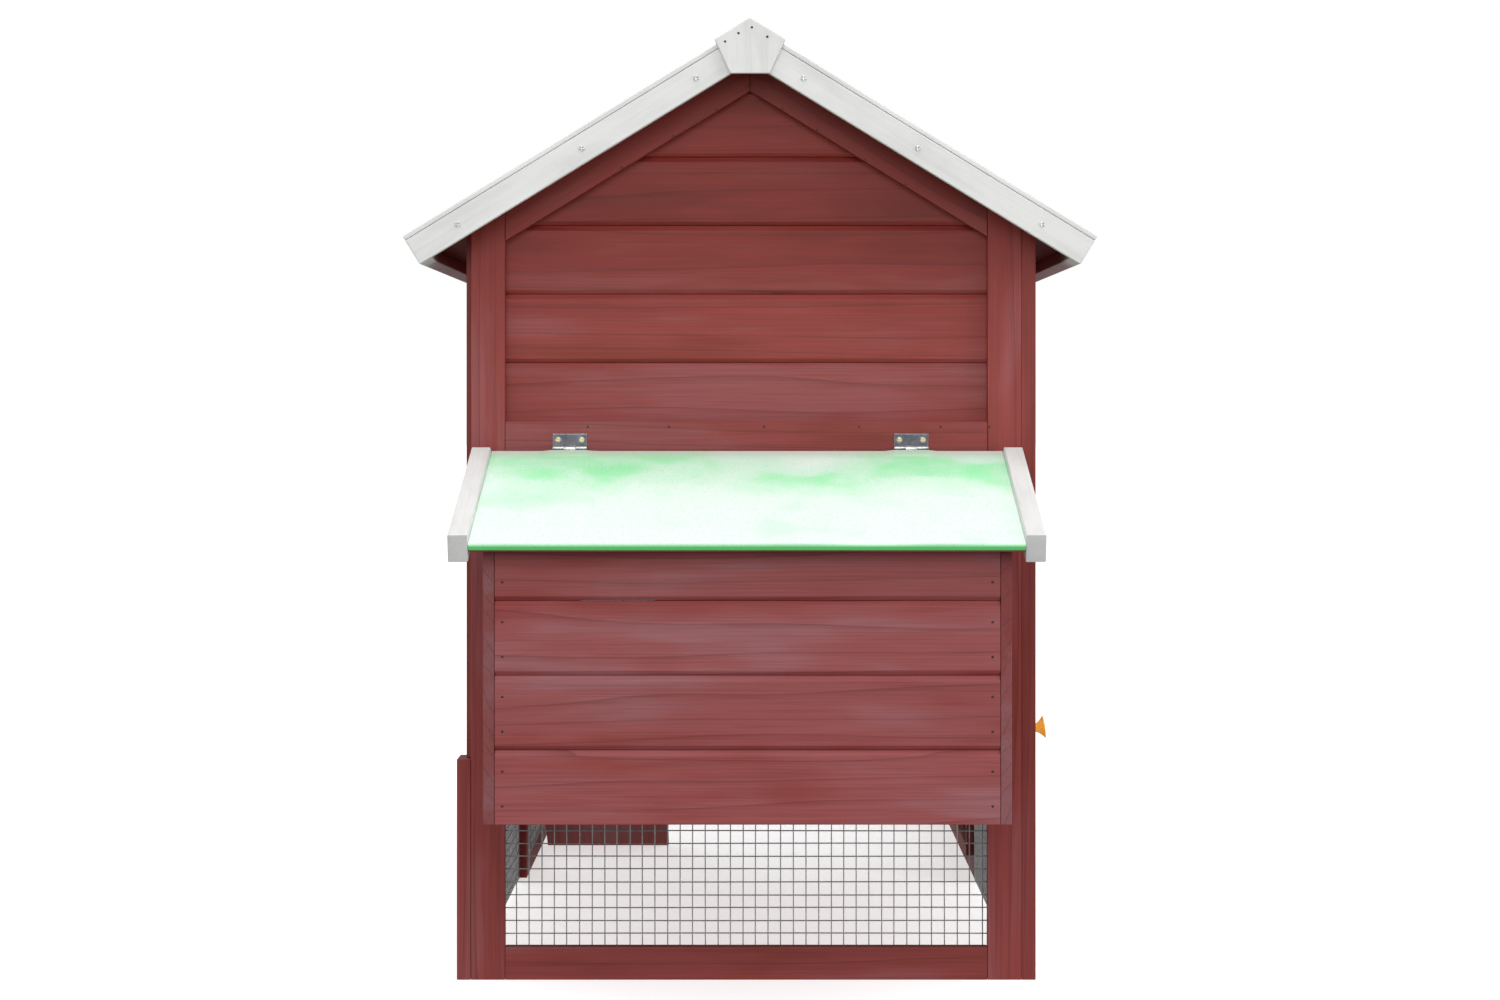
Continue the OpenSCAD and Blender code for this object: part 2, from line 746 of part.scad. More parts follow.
module tray_pan() {
    x = [back_in + board_t + tray_gap, right - g];
    y = [near_stile + tray_gap, part0 - 15 - 3];
    z0 = floor_h + g;
    color(zinc) placed() difference() {
        bar(x, y, [z0, z0 + tray_rim]);
        bar([x[0] + tray_wall, x[1] - tray_wall], [y[0] + tray_wall, y[1] - tray_wall],
            [z0 + tray_wall, z0 + tray_rim + 1]);
    }
}

module tray_front() {
    color(stain) placed() bar([right, front_out], [house_y0, house_y1], [tray_z, tray_z + tray_front_h]);
}

// Turned knobs: a waisted neck and a flared, shallow-domed face
module tray_knobs() {
    r = knob_d / 2;
    neck = r * 0.38;
    color(knob_orange) placed() for (y = knob_y)
        translate([front_out, y, tray_z + tray_front_h / 2]) rotate([0, 90, 0])
            rotate_extrude() polygon([[0, 0], [neck * 1.3, 0], [neck, knob_out * 0.18],
                [neck, knob_out * 0.42], [neck * 1.5, knob_out * 0.64], [r, knob_out * 0.8],
                [r, knob_out * 0.9], [r * 0.7, knob_out], [0, knob_out]]);
}

module ramp_ledge() {
    color(stain) placed() bar([ramp_x, ramp_x + ramp_w], [part1 + g, ramp_y - 1.5],
        [floor_h - 34, ledge_top]);
}

// The ramp's frame: y runs down the ramp from its hinge line, z out of its upper face
module ramp_placed() {
    placed() translate([ramp_x + ramp_w / 2, ramp_y, ramp_z]) rotate([-ramp_slope, 0, 0]) children();
}

module ramp_board() {
    half = ramp_w / 2;
    color(stain) ramp_placed() {
        bar([-half, half], [8, ramp_len], [-knuckle_r - ramp_t, -knuckle_r - g]);
        for (y = [cleat_pitch : cleat_pitch : ramp_len - 20])
            bar([-half, half], [y - 6, y + 6], [-knuckle_r, cleat_h - knuckle_r]);
    }
}

module ramp_hinge_leaves() {
    color(zinc) placed() for (x = [36, ramp_w - 36]) translate([ramp_x + x, ramp_y, ramp_z])
        mirror([0, 1, 0]) hinge_half(true, 8);
}

module ramp_leaves() {
    color(zinc) ramp_placed() for (x = [36 - ramp_w / 2, ramp_w / 2 - 36]) translate([x, 0, 0])
        hinge_half(false, leaf_w);
}

// A turn button with round ends, lying along local Y and turning on a screw along X
module turn_button() {
    r = button_w / 2;
    color(stain) translate([front_out + g, 0, 0]) rotate([90, 0, 90]) linear_extrude(button_t)
        difference() {
            union() {
                square([button_len - button_w, button_w], center = true);
                for (x = [-1, 1]) translate([x * (button_len - button_w) / 2, 0]) circle(r);
            }
            circle(2 + running_fit);
        }
}

module house_door_button() {
    placed() translate([0, house_button[0], house_button[1]]) turn_button();
}

module run_door_button() {
    placed() translate([0, run_button[0], run_button[1]]) rotate([90, 0, 0]) turn_button();
}

module button_screws() {
    color(brass) placed() for (at = [house_button, run_button])
        translate([front_out, at[0], at[1]]) rotate([0, 90, 0]) {
            cylinder(r = 2, h = button_t + 3 * g);
            translate([0, 0, button_t + 2 * g]) cylinder(d = screw_d + 1, h = 1.5);
        }
}

// A felt sheet over the lid's board, thinned over the hinge leaves
module lid_felt() {
    color(felt_green) lid_placed() difference() {
        bar([lid_x0 + trim_w + g, lid_x1 - trim_w - g], [-lid_len, -knuckle_r - 1],
            [-knuckle_r + g / 3, felt_t - knuckle_r]);
        for (x = lid_hinge_x) bar([x - hinge_len / 2 - 1, x + hinge_len / 2 + 1],
            [-leaf_w - 1, 0], [-knuckle_r - 1, leaf_t - knuckle_r + g]);
    }
}

module lid_board() {
    color(stain) lid_placed() bar([lid_x0 + trim_w + g, lid_x1 - trim_w - g],
        [2 - lid_len, -knuckle_r - 1], [-lid_under, -knuckle_r]);
}

// Trims down both sides of the lid, each with its rear top corner rounded
module lid_trims() {
    top = trim_top;
    back = -knuckle_r - 5;
    round_r = 14;
    color(white) lid_placed() for (x = [lid_x0, lid_x1 - trim_w])
        rotate([90, 0, 90]) translate([0, 0, x]) linear_extrude(trim_w) union() {
            polygon([[-lid_len, top - trim_h], [back, top - trim_h], [back, top - round_r],
                [back - round_r, top], [-lid_len, top]]);
            translate([back - round_r, top - round_r]) circle(round_r);
        }
}

module lid_battens() {
    color(stain) lid_placed() for (x = [-170, 130])
        bar([x, x + 30], [-lid_len + 60, -50], [-lid_under - 12, -lid_under - g]);
}

near_end_frame();
near_end_boards();
near_end_mesh();
far_end_frame();
far_end_boards();
far_end_mesh();
front_frame();
front_low_mesh();
door_stops();
back_wall_frame();
back_wall_boards();
back_low_frame();
back_low_mesh();
run_back_frame();
run_back_mesh();
partition_boards();
partition_battens();
floor_bearers();
floor_boards();
roof_deck_front();
roof_deck_back();
roof_felt_front();
roof_felt_back();
rafters();
barge_boards();
barge_covers();
fascias();
ridge_boards();
gable_caps();
nest_front();
nest_sides();
nest_floor();
nest_battens();
nest_divider();
roof_screws();
nails();
nest_hinge_leaves();
door_hinge_leaves();
ramp_hinge_leaves();
ramp_ledge();
button_screws();
lid_board();
lid_felt();
lid_trims();
lid_battens();
lid_hinge_leaves();
house_door_frame();
house_door_boards();
house_door_leaves();
run_door_frame();
run_door_mesh();
run_door_leaves();
tray_pan();
tray_front();
tray_knobs();
ramp_board();
ramp_leaves();
house_door_button();
run_door_button();
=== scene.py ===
import math
import bmesh
import bpy
import numpy as np
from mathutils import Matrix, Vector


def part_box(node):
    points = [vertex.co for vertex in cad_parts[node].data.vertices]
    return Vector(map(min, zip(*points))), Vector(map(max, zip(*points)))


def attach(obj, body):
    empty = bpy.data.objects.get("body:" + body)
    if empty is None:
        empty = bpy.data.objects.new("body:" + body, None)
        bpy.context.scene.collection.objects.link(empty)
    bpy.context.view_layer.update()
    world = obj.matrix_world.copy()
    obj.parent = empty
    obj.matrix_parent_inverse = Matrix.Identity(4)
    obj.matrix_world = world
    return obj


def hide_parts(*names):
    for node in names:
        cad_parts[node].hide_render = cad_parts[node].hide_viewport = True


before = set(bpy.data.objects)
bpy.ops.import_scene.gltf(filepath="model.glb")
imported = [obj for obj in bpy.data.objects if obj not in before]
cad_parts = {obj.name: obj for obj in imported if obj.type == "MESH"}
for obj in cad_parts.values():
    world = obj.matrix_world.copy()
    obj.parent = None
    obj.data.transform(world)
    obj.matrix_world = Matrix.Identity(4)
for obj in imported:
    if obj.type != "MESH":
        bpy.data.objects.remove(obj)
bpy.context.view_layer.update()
MM = 0.001

# Camera: square on to the nest-box end, a little above the lid, with the lens shifted down
# so that the uprights stay upright. It only records the view and is no part of the coop.
end_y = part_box("near_end_frame")[0][1]
camera_back, camera_height = 3.42, 0.615
camera = bpy.data.objects.new("camera", bpy.data.cameras.new("camera"))
camera.location = (0.0, end_y - camera_back, camera_height)
camera.rotation_euler = (math.radians(90), 0, 0)
camera.data.lens = 77.4
camera.data.sensor_width = 36
camera.data.shift_y = -0.0667
bpy.context.scene.collection.objects.link(camera)
bpy.context.scene.camera = camera

# Studio: a pale lit floor that runs out of sight into a white surround, which is bright overhead
# and dim below. Three broad lamps light the roof, the nest box end and the door side.
bpy.context.scene.view_settings.view_transform = "Standard"
world = bpy.data.worlds.new("studio")
world.use_nodes = True
surround = world.node_tree
backdrop = surround.nodes["Background"]
backdrop.inputs["Color"].default_value = (1.0, 1.0, 1.0, 1.0)
light_above, light_below = 0.80, 0.34
way = surround.nodes.new("ShaderNodeSeparateXYZ")
surround.links.new(surround.nodes.new("ShaderNodeTexCoord").outputs["Generated"], way.inputs[0])
level = surround.nodes.new("ShaderNodeMapRange")
level.interpolation_type = "SMOOTHSTEP"
fade = {"From Min": -0.5, "From Max": 0.8, "To Min": light_below, "To Max": light_above}
for socket, value in fade.items():
    level.inputs[socket].default_value = value
surround.links.new(way.outputs["Z"], level.inputs["Value"])
seen = surround.nodes.new("ShaderNodeMix")
surround.links.new(surround.nodes.new("ShaderNodeLightPath").outputs["Is Camera Ray"], seen.inputs[0])
surround.links.new(level.outputs[0], seen.inputs[2])
seen.inputs[3].default_value = 1.0
surround.links.new(seen.outputs[0], backdrop.inputs["Strength"])
bpy.context.scene.world = world


def soft_box(name, place, aim, size, watts):
    """A square area lamp at a place, turned to face an aim point."""
    lamp = bpy.data.objects.new(name, bpy.data.lights.new(name, "AREA"))
    lamp.data.size = size
    lamp.data.energy = watts
    lamp.location = place
    way = np.array(aim) - np.array(place)
    flat = math.hypot(way[0], way[1])
    lamp.rotation_euler = (math.atan2(flat, -way[2]), 0, math.atan2(way[1], way[0]) - math.pi / 2)
    bpy.context.scene.collection.objects.link(lamp)


soft_box("overhead", (0, -0.9, 3.4), (0, -0.5, 0.5), 1.8, 26)
soft_box("front", (-0.3, -4.8, 1.9), (0, -0.7, 0.5), 2.2, 57)
soft_box("side", (3.4, -2.4, 1.3), (0.3, -0.3, 0.4), 1.6, 30)

floor_mesh = bpy.data.meshes.new("floor")
floor_reach = 40.0
floor_corners = [(x * floor_reach, y * floor_reach, 0) for x, y in ((-1, -1), (1, -1), (1, 1), (-1, 1))]
floor_mesh.from_pydata(floor_corners, [], [(0, 1, 2, 3)])
floor = bpy.data.objects.new("floor", floor_mesh)
floor_look = bpy.data.materials.new("studio_floor")
floor_look.use_nodes = True
floor_paint = floor_look.node_tree.nodes["Principled BSDF"]
floor_paint.inputs["Base Color"].default_value = (0.93, 0.93, 0.93, 1)
floor_paint.inputs["Roughness"].default_value = 0.9
floor_paint.inputs["Emission Color"].default_value = (1, 1, 1, 1)
floor_paint.inputs["Emission Strength"].default_value = 0.60
floor_mesh.materials.append(floor_look)
bpy.context.scene.collection.objects.link(floor)
floor.visible_diffuse = False
floor.visible_glossy = False


# Stained timber: every frame member, board and batten is planed softwood under a translucent
# red stain. Each one is cut from the log differently, so the grain is worked out board by board.
def read(items, name, width=1, kind=float):
    """One property of all of a mesh's vertices, edges, faces or corners, with a row for each."""
    values = np.empty(len(items) * width, kind)
    items.foreach_get(name, values)
    return values.reshape(-1, width) if width > 1 else values


def write(mesh, name, values, domain="POINT"):
    """Puts an attribute on a mesh: one number, or a row of three, for each vertex or face."""
    kind, field = ("FLOAT_VECTOR", "vector") if values.shape[-1] == 3 else ("FLOAT", "value")
    mesh.attributes.new(name, kind, domain).data.foreach_set(field, values.ravel())


def islands_of(count, ends):
    """Labels each of count corners with the number of its connected piece, by spreading the
    lowest index along the edges, given as pairs of ends, until nothing changes."""
    a, b = ends.T
    label = np.arange(count)
    while True:
        low = np.minimum(label[a], label[b])
        new = label.copy()
        np.minimum.at(new, a, low)
        np.minimum.at(new, b, low)
        new = new[new]
        if (new == label).all():
            return np.unique(label, return_inverse=True)[1].ravel()
        label = new


def solids_of(node):
    """A CAD node's separate solids, each as an array of its corners in metres. Corners that
    coincide are counted as one first, so that the loose triangles join up again."""
    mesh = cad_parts[node].data
    spots, same = np.unique(read(mesh.vertices, "co", 3).round(6), axis=0, return_inverse=True)
    label = islands_of(len(spots), same.ravel()[read(mesh.edges, "vertices", 2, int)])
    return [spots[label == k] for k in range(label.max() + 1)]


def grain_along(mesh, seed, run=None):
    """Writes each vertex's place in its own board as the attribute board_place: the first number
    runs along the board's longest axis, or along run, the second across its width and the third
    through its thickness, all in metres, plus a random shift that puts every board in a
    different part of the log. board_tone is one random number a board, and end_grain is 1 on
    the faces that cut the fibres."""
    co = read(mesh.vertices, "co", 3)
    label = islands_of(len(co), read(mesh.edges, "vertices", 2, int))
    dice = np.random.default_rng(seed)
    place = np.zeros((len(co), 3))
    tone = np.zeros(len(co))
    normals = read(mesh.polygons, "normal", 3)
    corners = read(mesh.loops, "vertex_index", kind=int)
    owner = label[corners[read(mesh.polygons, "loop_start", kind=int)]]
    ends = np.zeros(len(normals))
    for k in range(label.max() + 1):
        own = label == k
        centred = co[own] - (co[own].min(0) + co[own].max(0)) / 2
        axes = np.linalg.svd(centred, full_matrices=False)[2]
        spread = np.abs(centred @ axes.T).max(0)
        if run is not None:
            spread = spread + 10 * np.abs(axes @ np.array(run))
        axes = axes[np.argsort(-spread)]
        local = centred @ axes.T
        ends[owner == k] = np.abs(normals[owner == k] @ axes[0]) > 0.75
        place[own] = local + dice.uniform(0, 40, 3)
        tone[own] = dice.uniform(0, 1)
    write(mesh, "board_place", place)
    write(mesh, "end_grain", ends, "FACE")
    write(mesh, "board_tone", tone)


def joiner(look):
    """Short calls that add a node to a look and wire its sockets by name."""
    tree = look.node_tree

    def add(kind, **sockets):
        settings = {k[4:]: v for k, v in sockets.items() if k.startswith("set_")}
        node = tree.nodes.new(kind)
        for key, value in settings.items():
            setattr(node, key, value)
        for key, value in sockets.items():
            if key.startswith("set_"):
                continue
            by_number = key.startswith("in_")
            spot = node.inputs[int(key[3:]) if by_number else key.replace("_", " ")]
            if isinstance(value, bpy.types.NodeSocket):
                tree.links.new(value, spot)
            else:
                spot.default_value = value
        return node

    return add


def math_node(add, operation, a, b=0.0):
    return add("ShaderNodeMath", set_operation=operation, in_0=a, in_1=b).outputs[0]


def ramp(add, factor, stops, mode="EASE"):
    """A colour ramp from (place, colour) stops."""
    node = add("ShaderNodeValToRGB", Fac=factor)
    node.color_ramp.interpolation = mode
    while len(node.color_ramp.elements) < len(stops):
        node.color_ramp.elements.new(0.5)
    for element, (place, colour) in zip(node.color_ramp.elements, stops):
        element.position = place
        element.color = (*colour, 1)
    return node.outputs["Color"]


def blend_colour(add, kind, factor, a, b):
    node = add("ShaderNodeMix", set_data_type="RGBA", set_blend_type=kind)
    tree = node.id_data
    for index, value in ((0, factor), (6, a), (7, b)):
        if isinstance(value, bpy.types.NodeSocket):
            tree.links.new(value, node.inputs[index])
        else:
            node.inputs[index].default_value = (*value, 1) if isinstance(value, tuple) else value
    return node.outputs[2]


def grain_maps(add):
    """Two patterns from the board's own place: late-wood lines, thin rings about a pith line that
    runs beside the board and leans a little, and fine pores drawn out along the grain."""
    place = add("ShaderNodeAttribute", set_attribute_name="board_place").outputs["Vector"]
    drawn = add("ShaderNodeMapping", Vector=place, Scale=(1.1, 13, 13)).outputs[0]
    wander = add("ShaderNodeTexNoise", Vector=drawn, Scale=1.0, Detail=2.0, Roughness=0.5).outputs["Fac"]
    split = add("ShaderNodeSeparateXYZ", Vector=place).outputs
    swing = math_node(add, "MULTIPLY", wander, 3.0)
    across = math_node(add, "MULTIPLY", split[1], 42.0)
    depth = math_node(add, "MULTIPLY", split[2], 60.0)
    wave = math_node(add, "FRACT", math_node(add, "ADD", math_node(add, "ADD", across, depth), swing))
    late = math_node(add, "POWER", wave, 14.0)
    fine = add("ShaderNodeMapping", Vector=place, Scale=(7, 620, 620)).outputs[0]
    pores = add("ShaderNodeTexNoise", Vector=fine, Scale=1.0, Detail=3.0, Roughness=0.65).outputs["Fac"]
    return place, late, pores


def knot_map(add, place):
    """Knots: the middle of a few stretched cells, each a dark oval a little longer than wide."""
    cells = add("ShaderNodeTexVoronoi", Scale=1.0, Randomness=1.0,
                Vector=add("ShaderNodeMapping", Vector=place, Scale=(3.1, 7.5, 3.0)).outputs[0])
    near = cells.outputs["Distance"]
    chosen = math_node(add, "GREATER_THAN",
                       add("ShaderNodeSeparateColor", Color=cells.outputs["Color"]).outputs[0], 0.72)
    core = ramp(add, near, [(0.0, (1, 1, 1)), (0.05, (0.85, 0.85, 0.85)), (0.10, (0, 0, 0))])
    return math_node(add, "MULTIPLY", core, chosen)


def stained_pine(name, light, deep, blush):
    """Red stain on softwood: the stain lies darker in the late wood, the pores, the knots and the
    end grain, thinner and pinker in broad soft patches, and varies from board to board. High on
    the walls it is drawn darker and browner: painted shade, as under the eaves."""
    look = bpy.data.materials.new(name)
    look.use_nodes = True
    add = joiner(look)
    skin = look.node_tree.nodes["Principled BSDF"]
    place, late, pores = grain_maps(add)
    knots = knot_map(add, place)
    tone = add("ShaderNodeAttribute", set_attribute_name="board_tone").outputs["Fac"]
    ends = add("ShaderNodeAttribute", set_attribute_name="end_grain").outputs["Fac"]
    broad = add("ShaderNodeMapping", Vector=place, Scale=(2.6, 15, 15)).outputs[0]
    patches = add("ShaderNodeTexNoise", Vector=broad, Scale=1.0, Detail=3.0, Roughness=0.6).outputs["Fac"]
    body = ramp(add, patches, [(0.36, deep), (0.50, light), (0.64, blush)])
    streak = ramp(add, pores, [(0.32, (0.74, 0.66, 0.66)), (0.62, (1.08, 1.10, 1.10))])
    body = blend_colour(add, "MULTIPLY", 0.62, body, streak)
    body = blend_colour(add, "MULTIPLY", math_node(add, "MULTIPLY", late, 0.62), body, (0.50, 0.36, 0.36))
    body = blend_colour(add, "MIX", math_node(add, "MULTIPLY", knots, 0.75), body, (0.075, 0.014, 0.009))
    shade = ramp(add, tone, [(0.0, (0.91, 0.90, 0.90)), (1.0, (1.08, 1.10, 1.10))], "LINEAR")
    body = blend_colour(add, "MULTIPLY", 1.0, body, shade)
    body = blend_colour(add, "MULTIPLY", math_node(add, "MULTIPLY", ends, 0.6), body, (0.62, 0.66, 0.66))
    # Painted shade: higher up the piece, the colour is darkened and browned as in the shade under the
    # eaves.
    height = add("ShaderNodeSeparateXYZ", Vector=add("ShaderNodeTexCoord").outputs["Object"]).outputs[2]
    painted_eave_shade = add("ShaderNodeMapRange", set_interpolation_type="SMOOTHSTEP", Value=height,
                  From_Min=0.62, From_Max=0.82).outputs[0]
    body = blend_colour(add, "MULTIPLY", painted_eave_shade, body, (0.82, 0.52, 0.40))
    look.node_tree.links.new(body, skin.inputs["Base Color"])
    rough = add("ShaderNodeMapRange", Value=pores, To_Min=0.50, To_Max=0.66).outputs[0]
    look.node_tree.links.new(rough, skin.inputs["Roughness"])
    skin.inputs["Specular IOR Level"].default_value = 0.42
    relief = math_node(add, "ADD", math_node(add, "MULTIPLY", pores, 0.6),
                       math_node(add, "MULTIPLY", late, 0.5))
    bump = add("ShaderNodeBump", Height=relief, Strength=0.22, Distance=0.6 * MM).outputs[0]
    look.node_tree.links.new(bump, skin.inputs["Normal"])
    return look


def eased(node, look, body, seed, ease=0.8 * MM, run=None):
    """A node's members with their sharp edges eased by a small bevel: its loose triangles are
    joined first, and each member gets its own run of grain."""
    shape = bmesh.new()
    shape.from_mesh(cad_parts[node].data)
    bmesh.ops.remove_doubles(shape, verts=shape.verts, dist=0.01 * MM)
    bmesh.ops.dissolve_limit(shape, angle_limit=0.01, verts=shape.verts, edges=shape.edges)
    sharp = [e for e in shape.edges if len(e.link_faces) == 2 and e.calc_face_angle(0) > 0.45]
    bmesh.ops.bevel(shape, geom=sharp, offset=ease, segments=2, profile=0.6, affect="EDGES",
                    clamp_overlap=True)
    mesh = bpy.data.meshes.new(node + "_eased")
    shape.to_mesh(mesh)
    shape.free()
    grain_along(mesh, seed, run)
    mesh.materials.append(look)
    piece = bpy.data.objects.new(mesh.name, mesh)
    bpy.context.scene.collection.objects.link(piece)
    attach(piece, body)
    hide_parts(node)
    return piece


red_stain = stained_pine("red_stained_pine", (0.275, 0.040, 0.034), (0.225, 0.028, 0.018),
                         (0.290, 0.066, 0.066))
# A lighter, pinker copy of the stain, a little blue in its pink, for the nest box's and house door's
# boards: painted sheen, as on boards in the light.
painted_sheen_stain = stained_pine("red_stain_painted_sheen", (0.310, 0.068, 0.068), (0.270, 0.042, 0.036),
                          (0.320, 0.108, 0.118))
painted_sheen_boards = ["nest_front", "nest_sides", "house_door_boards"]
house_timber = ["near_end_frame", "near_end_boards", "far_end_frame", "far_end_boards", "front_frame",
                "door_stops", "back_wall_frame", "back_wall_boards", "back_low_frame", "run_back_frame",
                "partition_boards", "partition_battens", "floor_bearers", "floor_boards",
                "roof_deck_front", "roof_deck_back", "rafters", "nest_front", "nest_sides", "nest_floor",
                "nest_battens", "nest_divider", "ramp_ledge"]
for seed, node in enumerate(house_timber):
    look = painted_sheen_stain if node in painted_sheen_boards else red_stain
    run = (0, 1, 0) if node == "nest_sides" else None
    eased(node, look, "coop", seed, run=run)

# Moving timber: the doors' frames and boards, the ramp with its cleats, the tray's front, the
# lid's board and battens, and the two turn buttons. The same stain as the house.
moving_timber = {"house_door_frame": "house_door", "house_door_boards": "house_door",
                 "run_door_frame": "run_door", "tray_front": "tray", "ramp_board": "ramp",
                 "lid_battens": "nest_lid", "lid_board": "nest_lid",
                 "house_door_button": "house_button", "run_door_button": "run_button"}
for seed, (node, body) in enumerate(moving_timber.items(), 40):
    look = painted_sheen_stain if node in painted_sheen_boards else red_stain
    eased(node, look, body, seed)


# White trims: barge boards, cover strips, fascias, ridge boards, gable caps and the lid's side
# trims. Planed softwood under two thin coats of white, so the grain still shows as faint lines.
def white_paint_look():
    """White paint that settles into the grain: late-wood lines and pores show a little greyer."""
    look = bpy.data.materials.new("white_painted_pine")
    look.use_nodes = True
    add = joiner(look)
    skin = look.node_tree.nodes["Principled BSDF"]
    place, late, pores = grain_maps(add)
    broad = add("ShaderNodeMapping", Vector=place, Scale=(8, 30, 30)).outputs[0]
    cloud = add("ShaderNodeTexNoise", Vector=broad, Scale=1.0, Detail=4.0, Roughness=0.6).outputs["Fac"]
    body = ramp(add, cloud, [(0.30, (0.70, 0.70, 0.685)), (0.65, (0.80, 0.80, 0.79))])
    body = blend_colour(add, "MULTIPLY", math_node(add, "MULTIPLY", late, 0.35), body, (0.86, 0.86, 0.84))
    body = blend_colour(add, "MULTIPLY", 0.30, body,
                        ramp(add, pores, [(0.28, (0.80, 0.80, 0.79)), (0.5, (1, 1, 1))]))
    ends = add("ShaderNodeAttribute", set_attribute_name="end_grain").outputs["Fac"]
    body = blend_colour(add, "MULTIPLY", math_node(add, "MULTIPLY", ends, 0.8), body, (0.76, 0.76, 0.77))
    look.node_tree.links.new(body, skin.inputs["Base Color"])
    skin.inputs["Roughness"].default_value = 0.55
    skin.inputs["Specular IOR Level"].default_value = 0.35
    relief = math_node(add, "ADD", pores, math_node(add, "MULTIPLY", late, 0.6))
    bump = add("ShaderNodeBump", Height=relief, Strength=0.16, Distance=0.5 * MM).outputs[0]
    look.node_tree.links.new(bump, skin.inputs["Normal"])
    return look


white_paint = white_paint_look()
white_trims = {"barge_boards": "coop", "barge_covers": "coop", "fascias": "coop", "ridge_boards": "coop",
               "gable_caps": "coop", "lid_trims": "nest_lid"}
for seed, (node, body) in enumerate(white_trims.items(), 60):
    run = (0, 0, 1) if node == "gable_caps" else None
    eased(node, white_paint, body, seed, ease=1.2 * MM, run=run)


# Felt: the roof and the nest box's lid are covered with green mineral felt, a bitumen sheet
# with stone granules rolled into its face. The lid's sheet turns down over its front edge.
felt_t = 1.9 * MM
felt_step = 9 * MM
felt_wave = 0.16 * MM
joint_dip, joint_reach = 0.3 * MM, 4 * MM
bend_r = 2.6 * MM
lid_lip = 3.0 * MM
leaf_reach, hinge_rise, hinge_fade = 13 * MM, 1.3 * MM, 5 * MM


def mesh_piece(name, corners, faces, look, body):
    """A new piece from an array of corners and a list of faces, riding on a body."""
    mesh = bpy.data.meshes.new(name)
    mesh.from_pydata(np.asarray(corners).reshape(-1, 3).tolist(), [], faces)
    mesh.materials.append(look)
    piece = bpy.data.objects.new(name, mesh)
    bpy.context.scene.collection.objects.link(piece)
    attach(piece, body)
    return piece


def slope_of(node, along):
    """The slope that a flat sheet lies on: its upward normal, taken from its largest face, and
    the direction straight down the slope, square to the direction along it."""
    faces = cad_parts[node].data.polygons
    normals = read(faces, "normal", 3)
    up = normals[(read(faces, "area") * (normals[:, 2] > 0.3)).argmax()]
    down = np.cross(up, along)
    return up, down * (-1 if down[2] > 0 else 1)


def felt_path(start, end, lip):
    """The sheet's middle line down the slope, as (distance, height) pairs, with the outward
    direction at each: a straight run, then a quarter turn and a short lip where it has one."""
    straight, falling = 60, 4
    run = np.linspace(start, end - (bend_r + felt_t / 2 if lip else 0), straight)
    line = np.stack([run, np.zeros_like(run)], 1)
    face = np.tile([0.0, 1.0], (straight, 1))
    if lip:
        angle = np.linspace(0, math.pi / 2, 7)[1:]
        bend = np.stack([run[-1] + bend_r * np.sin(angle), bend_r * (np.cos(angle) - 1)], 1)
        drop = np.linspace(0, lip, falling + 1)[1:]
        fall = np.stack([np.full(falling, bend[-1, 0]), bend[-1, 1] - drop], 1)
        line = np.concatenate([line, bend, fall])
        outward = np.stack([np.sin(angle), np.cos(angle)], 1)
        face = np.concatenate([face, outward, np.tile([1.0, 0.0], (falling, 1))])
    return line, face


